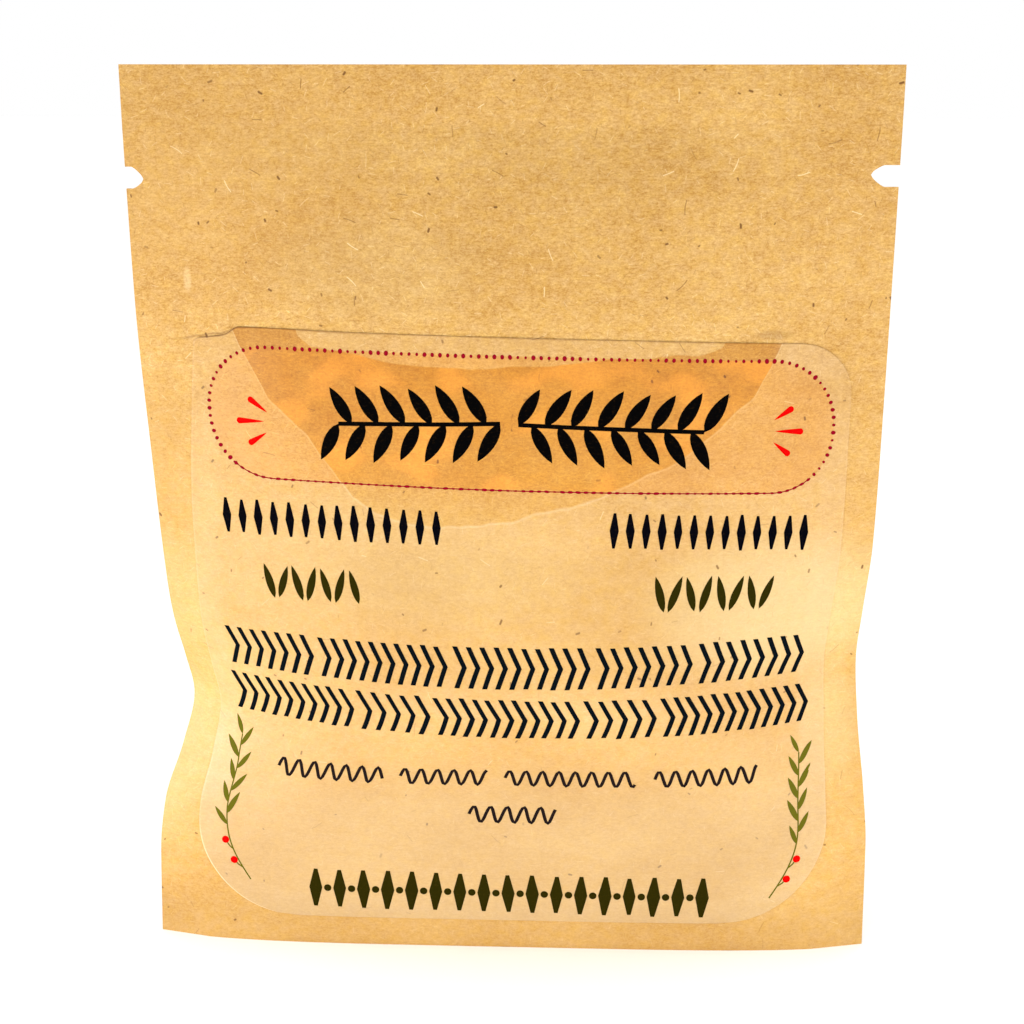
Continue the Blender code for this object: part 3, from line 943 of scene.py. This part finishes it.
def film_material(name, paper, label):
    """Kraft paper seen through the film: dark where it is stuck fast, veiled where it is loose."""
    look = Look(name)
    place = look.flat_place()
    across, up, _ = look.split(place)
    colour, relief = kraft_colour(look, place, paper)
    drift = look.noise(place, (0.22, 0.30), detail=2.0, seed=7.0)

    above = up - look.profile(across, BOWL_LINE) + drift * 0.9
    below = look.profile(across, STRIP_LINE) - up + drift * 0.7
    stuck = above.smooth(-0.12, 0.12) * below.smooth(-0.10, 0.10)
    # A painted highlight along the edge of the stuck film
    seam = (1.0 - abs(above + 0.16) / 0.20).most(0.0)

    loose = look.mix(1.0, colour, label.loose_tint, "MULTIPLY")
    loose = look.mix((drift * 0.35 + 0.16).most(0.05), loose, label.haze)
    tint = look.mix(up.smooth(45.0, 64.5), label.foot_tint, label.stuck_tint)
    seen = look.mix(stuck, loose, look.mix(1.0, colour, tint, "MULTIPLY"))
    seen = look.mix(seam * 0.16, seen, label.pale_lift_and_highlight)

    # The label's lower part gets paler: a painted reflection of the bright floor
    seen = look.mix(up.smooth(26.0, 15.0) * 0.19, seen, label.low_reflection)

    rim = look.attribute("rim_distance")
    # The veil adds the pale of lifted film along the rim and at the right end, and a painted highlight at the left
    # waist
    waist_highlight = up.smooth(23.4, 24.6) * up.smooth(34.0, 29.0) * across.smooth(-24.0, -30.0)
    right_end = up.smooth(59.0, 61.5) * across.smooth(25.5, 28.0)
    veil = rim.smooth(3.2, 2.4) * up.smooth(60.0, 54.0) * 0.05 + waist_highlight * 0.02 + right_end * 0.10
    seen = look.mix(veil, seen, label.pale_lift_and_highlight)
    field = panel_mask(look, place) * (0.92 + drift * 0.6).least(1.0)
    panel = look.mix(stuck, label.panel_tint, label.panel_stuck)
    seen = look.mix(field, seen, panel, "MULTIPLY")
    seen = look.mix(field * across.smooth(-20.0, -29.0) * 0.07, seen, label.pale_lift_and_highlight)
    glow = look.noise(place, (0.16, 0.24), detail=1.0, seed=9.0).smooth(-0.02, 0.22)
    seen = look.mix(field * stuck * glow * 0.34, seen, label.panel_glow)

    # Painted shade along the film's top edge
    top_edge_shade = rim.smooth(0.22, 0.06) * up.smooth(61.0, 62.5) * look.profile(across, TOP_EDGE_SHADE)
    # Painted highlight along the film's edge, strongest at the lower left corner
    low_edge_highlight = rim.smooth(0.20, 0.05) * up.smooth(60.0, 50.0)
    corner = up.smooth(14.0, 9.0) * across.smooth(-23.0, -26.0)
    seen = look.mix(top_edge_shade, seen, paper.dark_fibre_and_shade)
    seen = look.mix(low_edge_highlight * (0.05 + corner * 0.55), seen, label.pale_lift_and_highlight)
    waves = drift * 0.8 + relief * 0.10
    look.surface(Base_Color=seen, Roughness=label.roughness, Normal=look.bump(waves, 0.05 * MM))
    look.surface(Specular_IOR_Level=0.35)
    return look.material


def ink_material(name, colour, paper):
    """Ink with the paper's grain showing faintly in it."""
    look = Look(name)
    place = look.flat_place()
    grain = look.noise(place, (1.9, 4.8), detail=2.0, seed=3.0, roughness=0.6)
    pebble = look.noise(place, (5.0, 7.0), detail=2.0, seed=4.0, roughness=0.75)
    worn = (grain + pebble).smooth(0.10, 0.40)
    seen = look.mix(worn * 0.025, colour, paper.deep)
    look.surface(Base_Color=seen, Roughness=0.6, Normal=look.bump(pebble, 0.01 * MM))
    look.surface(Specular_IOR_Level=0.01)
    return look.material


# Geometry Nodes

def new_tree(name, inputs):
    """A Geometry Nodes tree with named inputs; inputs gives each one's name and socket type."""
    tree = bpy.data.node_groups.new(name, "GeometryNodeTree")
    tree.interface.new_socket("Geometry", in_out="INPUT", socket_type="NodeSocketGeometry")
    for label, kind in inputs:
        tree.interface.new_socket(label, in_out="INPUT", socket_type=kind)
    tree.interface.new_socket("Geometry", in_out="OUTPUT", socket_type="NodeSocketGeometry")
    graph = Graph(tree)
    source = graph.node("NodeGroupInput").outputs
    return tree, graph, source


def end_tree(graph, shape, material):
    """Ends a tree in Realize Instances and Set Material."""
    real = graph.node("GeometryNodeRealizeInstances", None, {0: shape}).outputs[0]
    dressed = graph.node("GeometryNodeSetMaterial", None, {"Geometry": real, "Material": material})
    graph.node("NodeGroupOutput", None, {0: dressed.outputs[0]})


def marks_tree():
    """Sets a mark at even steps along a path, with alternate and random turns and random sizes."""
    tree, graph, source = new_tree("marks_along_path", (
        ("Mark", "NodeSocketObject"), ("Spacing", "NodeSocketFloat"), ("Fan", "NodeSocketFloat"),
        ("Turn Spread", "NodeSocketFloat"), ("Size Spread", "NodeSocketFloat"),
        ("Seed", "NodeSocketInt"), ("Material", "NodeSocketMaterial")))
    path = graph.node("GeometryNodeResampleCurve", {"mode": "LENGTH"},
                      {"Curve": source["Geometry"], "Length": source["Spacing"]})
    mark = graph.node("GeometryNodeObjectInfo", None, {"Object": source["Mark"]})
    tangent = graph.node("GeometryNodeInputTangent").outputs[0]
    facing = graph.node("FunctionNodeAlignRotationToVector", {"axis": "X", "pivot_axis": "Z"}, {"Vector": tangent})

    index = Value(graph, graph.node("GeometryNodeInputIndex").outputs[0])
    odd = index.reckon("MODULO", index, 2.0)
    fan = (1.0 - odd * 2.0) * Value(graph, source["Fan"])
    spread = Value(graph, source["Turn Spread"])
    size_spread = Value(graph, source["Size Spread"])

    def draw(offset):
        seed = Value(graph, source["Seed"]) + offset
        made = graph.node("FunctionNodeRandomValue", {"data_type": "FLOAT"},
                          {2: -1.0, 3: 1.0, "Seed": seed})
        return Value(graph, made.outputs[1])

    turn = graph.node("ShaderNodeCombineXYZ", None, {"Z": fan + draw(0.0) * spread}).outputs[0]
    turned_by = graph.node("FunctionNodeRotateRotation", {"rotation_space": "LOCAL"},
                           {"Rotation": facing.outputs[0], "Rotate By": turn})
    size = 1.0 + draw(1.0) * size_spread
    placed = graph.node("GeometryNodeInstanceOnPoints", None,
                        {"Points": path.outputs[0], "Instance": mark.outputs["Geometry"],
                         "Rotation": turned_by.outputs[0], "Scale": size})
    end_tree(graph, placed.outputs[0], source["Material"])
    return tree


def stroke_tree():
    """Draws a flat stroke of ink along a path."""
    tree, graph, source = new_tree("stroke_along_path", (
        ("Width", "NodeSocketFloat"), ("Height", "NodeSocketFloat"), ("Step", "NodeSocketFloat"),
        ("Material", "NodeSocketMaterial")))
    path = graph.node("GeometryNodeResampleCurve", {"mode": "LENGTH"},
                      {"Curve": source["Geometry"], "Length": source["Step"]})
    radius = Value(graph, source["Width"]) * 0.5
    pen = graph.node("GeometryNodeCurvePrimitiveCircle", {"mode": "RADIUS"},
                     {"Resolution": 8, "Radius": radius})
    tube = graph.node("GeometryNodeCurveToMesh", None,
                      {"Curve": path.outputs[0], "Profile Curve": pen.outputs[0], "Fill Caps": True})
    squeeze = Value(graph, source["Height"]) / Value(graph, source["Width"])
    scale = graph.node("ShaderNodeCombineXYZ", None, {"X": 1.0, "Y": 1.0, "Z": squeeze}).outputs[0]
    pressed = graph.node("GeometryNodeTransform", None, {"Geometry": tube.outputs[0], "Scale": scale})
    end_tree(graph, pressed.outputs[0], source["Material"])
    return tree


def path_curve(name, lines, closed=False):
    """Flat paths as one curve object, each a list of places in metres."""
    curve = bpy.data.curves.new(name, "CURVE")
    curve.dimensions = "3D"
    for line in lines:
        spline = curve.splines.new("POLY")
        spline.points.add(len(line) - 1)
        for point, (x, y) in zip(spline.points, line):
            point.co = (x, y, 0.0, 1.0)
        spline.use_cyclic_u = closed
    drawn = bpy.data.objects.new(name, curve)
    bpy.context.scene.collection.objects.link(drawn)
    return drawn


def grown(drawn, tree, inputs):
    """The plain mesh that a tree makes of a path; the path goes."""
    growth = drawn.modifiers.new(tree.name, "NODES")
    growth.node_group = tree
    for item in tree.interface.items_tree:
        if item.in_out == "INPUT" and item.name in inputs:
            growth[item.identifier] = inputs[item.name]
    bpy.context.view_layer.update()
    view = bpy.context.evaluated_depsgraph_get()
    mesh = bpy.data.meshes.new_from_object(drawn.evaluated_get(view))
    bpy.data.objects.remove(drawn, do_unlink=True)
    return mesh


def set_of_marks(name, lines, mark, material, spacing, fan=0.0, turn=0.0, size=0.0, seed=0):
    """Marks along flat paths, as a flat mesh."""
    pattern = bpy.data.objects.new(name + "_mark", mark)
    bpy.context.scene.collection.objects.link(pattern)
    mesh = grown(path_curve(name + "_path", lines), tree_named("marks_along_path"),
                 {"Mark": pattern, "Spacing": spacing, "Fan": fan, "Turn Spread": turn,
                  "Size Spread": size, "Seed": seed, "Material": material})
    bpy.data.objects.remove(pattern, do_unlink=True)
    return mesh


def strokes(name, lines, material, width, height, step=0.3 * MM):
    """Strokes along flat paths, as a flat mesh."""
    return grown(path_curve(name + "_path", lines), tree_named("stroke_along_path"),
                 {"Width": width, "Height": height, "Step": step, "Material": material})


def tree_named(name):
    """A tree of the print, made when it is first needed."""
    found = bpy.data.node_groups.get(name)
    if found is not None:
        return found
    return {"marks_along_path": marks_tree, "stroke_along_path": stroke_tree}[name]()


def laid_on_film(meshes, name, material, scene, layer=0):
    """Joins flat meshes, cuts them fine enough to bend, and lays them on the film."""
    label, ink = scene.pouch_label, scene.pouch_print
    shape = bmesh.new()
    for mesh in meshes:
        shape.from_mesh(mesh)
        bpy.data.meshes.remove(mesh)
    bmesh.ops.remove_doubles(shape, verts=shape.verts, dist=1e-8)
    for axis in (0, 1):
        places = [corner.co[axis] for corner in shape.verts]
        step = (1.0 if axis == 0 else 0.5) * MM
        cut = math.ceil(min(places) / step) * step
        normal = (1.0, 0.0, 0.0) if axis == 0 else (0.0, 1.0, 0.0)
        while cut < max(places):
            everything = shape.verts[:] + shape.edges[:] + shape.faces[:]
            point = (cut, 0.0, 0.0) if axis == 0 else (0.0, cut, 0.0)
            bmesh.ops.bisect_plane(shape, geom=everything, dist=1e-9, plane_co=point, plane_no=normal)
            cut += step
    flat = shape.loops.layers.uv.get(FLAT_MAP) or shape.loops.layers.uv.new(FLAT_MAP)
    for face in shape.faces:
        face.material_index = 0
        for loop in face.loops:
            loop[flat].uv = loop.vert.co.xy
    bed = label.lift + label.thickness + ink.ink_height * (0.35 + 0.5 * layer)
    for corner in shape.verts:
        corner.co = on_front(corner.co.x, corner.co.y, bed + corner.co.z, scene.pouch_sizes)
    bmesh.ops.recalc_face_normals(shape, faces=shape.faces)
    mesh = bpy.data.meshes.new(name)
    shape.to_mesh(mesh)
    shape.free()
    piece = finished(mesh, name, material, smooth_angle=50.0)
    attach(piece, BODY)
    return piece


# The print's pieces

def panel_outline(steps_per_corner=14):
    """Places round the panel's edge, from the foot of its left end, up and over to the right end."""
    half_x, half_y = PANEL_HALF
    places = []
    for side, level, first in ((-1, -1, 270.0), (-1, 1, 180.0), (1, 1, 90.0), (1, -1, 0.0)):
        middle_x = PANEL_MIDDLE[0] + side * (half_x - PANEL_CORNER)
        middle_y = PANEL_MIDDLE[1] + level * (half_y - PANEL_CORNER)
        for step in range(steps_per_corner + 1):
            angle = math.radians(first - 90.0 * step / steps_per_corner)
            x = middle_x + PANEL_CORNER * math.cos(angle)
            y = middle_y + PANEL_CORNER * math.sin(angle)
            places.append((x * MM, (y + PANEL_SLOPE * x - PANEL_ARCH * x * x) * MM))
    return places


class POUCH_OT_make_border(bpy.types.Operator):
    """Make the dotted border of the label's panel"""
    bl_idname = "pouch.make_border"
    bl_label = "Make dotted border"

    def execute(self, context):
        scene = context.scene
        ink = scene.pouch_print
        maroon = ink_material("maroon_ink", ink.maroon, scene.pouch_paper)
        dot = flat_solid("dot", round_outline(0.175 * MM, 0.21 * MM, 10), ink.ink_height)
        around = panel_outline()
        over = around[6:-6]
        dots = set_of_marks("border_dots", [over], dot, maroon, ink.dot_spacing,
                            turn=0.35, size=0.28, seed=4)
        under = around[-7:] + around[:7]
        line = strokes("border_line", [under], maroon, 0.11 * MM, ink.ink_height)
        dash = flat_solid("dash", round_outline(0.26 * MM, 0.12 * MM, 10), ink.ink_height * 1.1)
        dashes = set_of_marks("border_dashes", [under], dash, maroon, 0.78 * MM,
                              turn=0.1, size=0.25, seed=9)
        laid_on_film([dots, line, dashes], "dotted_border", maroon, scene)
        return {"FINISHED"}


# Round end and tip of each ray, in millimetres
RAYS = (((-26.4, 57.8), (-24.5, 56.4)), ((-27.8, 55.5), (-24.9, 55.5)), ((-26.7, 53.2), (-24.7, 54.4)),
        ((28.3, 57.2), (26.4, 56.0)), ((29.4, 54.8), (26.5, 54.9)), ((28.1, 52.5), (26.4, 53.8)))


class POUCH_OT_make_rays(bpy.types.Operator):
    """Make the red rays at both ends of the panel"""
    bl_idname = "pouch.make_rays"
    bl_label = "Make rays"

    def execute(self, context):
        scene = context.scene
        ink = scene.pouch_print
        red = ink_material("red_ink", ink.red, scene.pouch_paper)
        meshes = []
        for head, tip in RAYS:
            along_ray = (Vector(tip) - Vector(head)) * MM
            ray = flat_solid("ray", drop_outline(along_ray.length, 0.62 * MM), ink.ink_height)
            turn = Matrix.Rotation(math.atan2(along_ray.y, along_ray.x), 4, "Z")
            ray.transform(Matrix.Translation((head[0] * MM, head[1] * MM, 0.0)) @ turn)
            meshes.append(ray)
        laid_on_film(meshes, "panel_rays", red, scene)
        return {"FINISHED"}


def line_between(start, end):
    """A straight path between two places in millimetres."""
    return [(start[0] * MM, start[1] * MM), (end[0] * MM, end[1] * MM)]


def wave(start, end, height, pitch):
    """A soft wave about the line between two places in millimetres."""
    steps = max(int((end[0] - start[0]) / pitch * 12), 8)
    places = []
    for step in range(steps + 1):
        share = step / steps
        across = start[0] + (end[0] - start[0]) * share
        level = start[1] + (end[1] - start[1]) * share
        rise = height / 2.0 * math.sin(2.0 * math.pi * (across - start[0]) / pitch)
        places.append((across * MM, (level + rise) * MM))
    return places


def groups_of(first, last, low, high, breaks):
    """Cuts the line from (first, low) to (last, high) at gaps, given as pairs of places across."""
    def level(across):
        return low + (high - low) * (across - first) / (last - first)

    starts = [first] + [end for _, end in breaks]
    ends = [start for start, _ in breaks] + [last]
    return [((start, level(start)), (end, level(end))) for start, end in zip(starts, ends)]


class POUCH_OT_make_bands(bpy.types.Operator):
    """Make the printed bands of ornament"""
    bl_idname = "pouch.make_bands"
    bl_label = "Make printed bands"

    def execute(self, context):
        scene = context.scene
        ink, paper = scene.pouch_print, scene.pouch_paper
        thick = ink.ink_height

        black = ink_material("black_ink", ink.black, paper)
        garland = []
        for start, end, seed in (((-0.9, 55.85), (-17.2, 55.55), 2), ((0.9, 55.75), (19.4, 54.95), 7)):
            path = line_between(start, end)
            leaf = flat_solid("leaf", [(y, -x) for x, y in leaf_outline(4.25 * MM, 1.32 * MM)], thick)
            garland.append(set_of_marks("garland", [path], leaf, black, 1.26 * MM,
                                        fan=1.02, turn=0.06, size=0.05, seed=seed))
            garland.append(strokes("garland_stem", [path], black, 0.42 * MM, thick))
        laid_on_film(garland, "panel_garlands", black, scene)

        navy = ink_material("navy_ink", ink.navy, paper)
        heads = []
        for start, end, seed in (((-29.7, 45.85), (-7.6, 45.45), 3), ((10.5, 45.35), (30.0, 44.65), 5)):
            mark = flat_solid("lozenge", lozenge_outline(0.46 * MM, 1.72 * MM), thick)
            heads.append(set_of_marks("heads", [line_between(start, end)], mark, navy, 1.62 * MM,
                                      turn=0.05, size=0.05, seed=seed))
        laid_on_film(heads, "heading_marks", navy, scene)

        olive = ink_material("olive_ink", ink.olive, paper)
        marks = []
        for start, end, seed in (((-25.5, 39.45), (-16.3, 39.4), 11), ((15.4, 39.1), (26.6, 38.85), 13)):
            outline = [(x, y - 1.75 * MM) for x, y in leaf_outline(3.5 * MM, 0.82 * MM)]
            leaf = flat_solid("leaf", outline, thick)
            marks.append(set_of_marks("small", [line_between(start, end)], leaf, olive, 1.5 * MM,
                                      fan=0.30, turn=0.05, size=0.05, seed=seed))
        low = flat_solid("low", lozenge_outline(0.70 * MM, 2.2 * MM), thick)
        marks.append(set_of_marks("low", [line_between((-20.3, 6.55), (20.3, 6.15))], low, olive,
                                  2.53 * MM, turn=0.04, size=0.04, seed=17))
        dot = flat_solid("low_dot", round_outline(0.40 * MM, 0.40 * MM), thick)
        marks.append(set_of_marks("low_dots", [line_between((-19.03, 6.54), (19.03, 6.16))], dot, olive,
                                  2.53 * MM, seed=19))
        laid_on_film(marks, "olive_marks", olive, scene)

        teal = ink_material("teal_ink", ink.teal, paper)
        chevrons = []
        rows = groups_of(-30.2, 31.0, 32.35, 32.2, ((-21.6, -19.6), (-7.0, -5.0), (8.0, 10.0), (18.8, 20.8)))
        rows += groups_of(-30.6, 31.4, 27.5, 27.0, ((-18.0, -16.0), (-9.6, -7.6), (6.4, 8.4), (14.6, 16.6)))
        for seed, (start, end) in enumerate(rows):
            mark = flat_solid("chevron", chevron_outline(1.95 * MM, 0.95 * MM, 0.54 * MM), thick)
            chevrons.append(set_of_marks("chevrons", [line_between(start, end)], mark, teal,
                                         1.32 * MM, turn=0.03, size=0.03, seed=seed))
        laid_on_film(chevrons, "chevron_bands", teal, scene)

        plum = ink_material("plum_ink", ink.plum, paper)
        lines = groups_of(-25.6, 25.8, 20.35, 20.3, ((-14.1, -12.2), (-3.0, -1.0), (12.8, 14.9)))
        lines.append(((-4.3, 15.8), (4.7, 15.75)))
        curls = strokes("waves", [wave(start, end, 1.9, 1.75) for start, end in lines], plum,
                        0.36 * MM, thick)
        laid_on_film([curls], "wave_bands", plum, scene)
        return {"FINISHED"}


def sprig_path(mirror):
    """The stem of a leaf sprig, from its foot up to its tip."""
    count = 24
    places = []
    for step in range(count + 1):
        share = step / count
        across = 27.3 + 3.5 * math.sin(math.pi * 0.62 * share) + 0.5 * math.sin(2.0 * math.pi * share)
        places.append((mirror * across * MM, (6.5 - 0.5 * mirror + 15.8 * share) * MM))
    return places


class POUCH_OT_make_sprigs(bpy.types.Operator):
    """Make the two leaf sprigs with berries"""
    bl_idname = "pouch.make_sprigs"
    bl_label = "Make sprigs"

    def execute(self, context):
        scene = context.scene
        ink, paper = scene.pouch_print, scene.pouch_paper
        green = ink_material("leaf_ink", ink.leaf, paper)
        red = ink_material("berry_ink", ink.red, paper)
        meshes, berries = [], []
        for mirror, seed in ((-1, 21), (1, 23)):
            stem = sprig_path(mirror)
            stalks = [stem]
            for step, aside, rise in ((2, 0.95, 0.75), (5, 0.90, 0.95)):
                x, y = stem[step]
                place = (x + mirror * aside * MM, y + rise * MM)
                stalks.append([(x, y), ((x + place[0]) / 2.0, y + 0.35 * rise * MM), place])
                berry = flat_solid("berry", round_outline(0.40 * MM, 0.40 * MM, 18), ink.ink_height)
                berry.transform(Matrix.Translation((*place, 0.0)))
                berries.append(berry)
            meshes.append(strokes("stem", stalks, green, 0.15 * MM, ink.ink_height))
            leaf = flat_solid("leaf", [(y, -x) for x, y in leaf_outline(2.5 * MM, 0.56 * MM)], ink.ink_height)
            meshes.append(set_of_marks("leaves", [stem[9:]], leaf, green, 1.22 * MM,
                                       fan=0.52, turn=0.14, size=0.16, seed=seed))
        laid_on_film(meshes, "sprig_leaves", green, scene)
        laid_on_film(berries, "sprig_berries", red, scene, layer=1)
        return {"FINISHED"}


# The studio

def soft_light(name, place, aim, size, power):
    """A large square light that faces a point."""
    lamp = bpy.data.lights.new(name, "AREA")
    lamp.shape = "RECTANGLE"
    lamp.size, lamp.size_y = size
    lamp.energy = power
    holder = bpy.data.objects.new(name, lamp)
    holder.location = place
    holder.visible_camera = False
    holder.rotation_euler = (Vector(aim) - Vector(place)).to_track_quat("-Z", "Y").to_euler()
    bpy.context.scene.collection.objects.link(holder)
    return holder


class POUCH_OT_make_studio(bpy.types.Operator):
    """Make the floor, the surroundings, the lights and the camera"""
    bl_idname = "pouch.make_studio"
    bl_label = "Make studio"

    def execute(self, context):
        scene = context.scene
        studio = scene.pouch_studio

        look = Look("studio_floor")
        place = look.node("ShaderNodeTexCoord").outputs["Object"]
        made = look.node("ShaderNodeTexNoise", None, {"Vector": place, "Scale": 9.0, "Detail": 2.0})
        pale = look.mix(Value(look, made.outputs["Fac"]) * 0.04, studio.floor_colour, (0.93, 0.92, 0.90))
        look.surface(Base_Color=pale, Roughness=0.8)

        shape = bmesh.new()
        bmesh.ops.create_grid(shape, x_segments=8, y_segments=8, size=2.5)
        mesh = bpy.data.meshes.new("floor")
        shape.to_mesh(mesh)
        shape.free()
        floor = bpy.data.objects.new("floor", mesh)
        floor.data.materials.append(look.material)
        scene.collection.objects.link(floor)

        world = bpy.data.worlds.new("studio")
        world.use_nodes = True
        world.node_tree.nodes["Background"].inputs["Color"].default_value = (1.0, 1.0, 1.0, 1.0)
        world.node_tree.nodes["Background"].inputs["Strength"].default_value = studio.sky_strength
        scene.world = world
        scene.view_settings.view_transform = "Standard"

        soft_light("left_light", (-0.36, -0.075, 0.02), (-0.02, 0.0, 0.02), (0.20, 0.20), studio.left_power)
        soft_light("right_light", (0.36, -0.075, 0.02), (0.02, 0.0, 0.02), (0.20, 0.20), studio.right_power)
        soft_light("front_light", (0.0, -0.070, 0.002), (0.0, -0.012, 0.03), (0.20, 0.05), studio.front_power)
        above = bpy.data.lights.new("top_light", "SUN")
        above.energy = studio.top_strength
        above.angle = math.radians(60.0)
        holder = bpy.data.objects.new("top_light", above)
        holder.rotation_euler = Vector((0.0, 0.12, -1.0)).to_track_quat("-Z", "Y").to_euler()
        scene.collection.objects.link(holder)

        lens = bpy.data.cameras.new("camera")
        lens.lens = studio.lens
        lens.sensor_width = 36.0
        lens.clip_start = 0.01
        camera = bpy.data.objects.new("camera", lens)
        camera.location = studio.camera_place
        towards = Vector(studio.camera_aim) - Vector(studio.camera_place)
        camera.rotation_euler = towards.to_track_quat("-Z", "Y").to_euler()
        scene.collection.objects.link(camera)
        scene.camera = camera
        return {"FINISHED"}


class POUCH_PT_panel(bpy.types.Panel):
    """Lists the steps in the order that they run"""
    bl_label = "Kraft paper pouch"
    bl_idname = "POUCH_PT_panel"
    bl_space_type = "VIEW_3D"
    bl_region_type = "UI"
    bl_category = "Pouch"

    def draw(self, context):
        for step in STEPS:
            self.layout.operator(step.bl_idname, text=step.bl_label)


SETTINGS = {
    "pouch_sizes": PouchSizes,
    "pouch_paper": PaperLook,
    "pouch_label": LabelLook,
    "pouch_print": PrintLook,
    "pouch_studio": StudioSettings,
}
STEPS = (POUCH_OT_make_studio, POUCH_OT_make_paper, POUCH_OT_make_film, POUCH_OT_make_border,
         POUCH_OT_make_rays, POUCH_OT_make_bands, POUCH_OT_make_sprigs)


def register():
    for kind in (*SETTINGS.values(), *STEPS, POUCH_PT_panel):
        bpy.utils.register_class(kind)
    for name, kind in SETTINGS.items():
        setattr(bpy.types.Scene, name, PointerProperty(type=kind))


def unregister():
    for name in SETTINGS:
        delattr(bpy.types.Scene, name)
    for kind in reversed((*SETTINGS.values(), *STEPS, POUCH_PT_panel)):
        bpy.utils.unregister_class(kind)


def main():
    register()
    for step in STEPS:
        group, action = step.bl_idname.split(".")
        getattr(getattr(bpy.ops, group), action)()


if __name__ == "__main__":
    main()
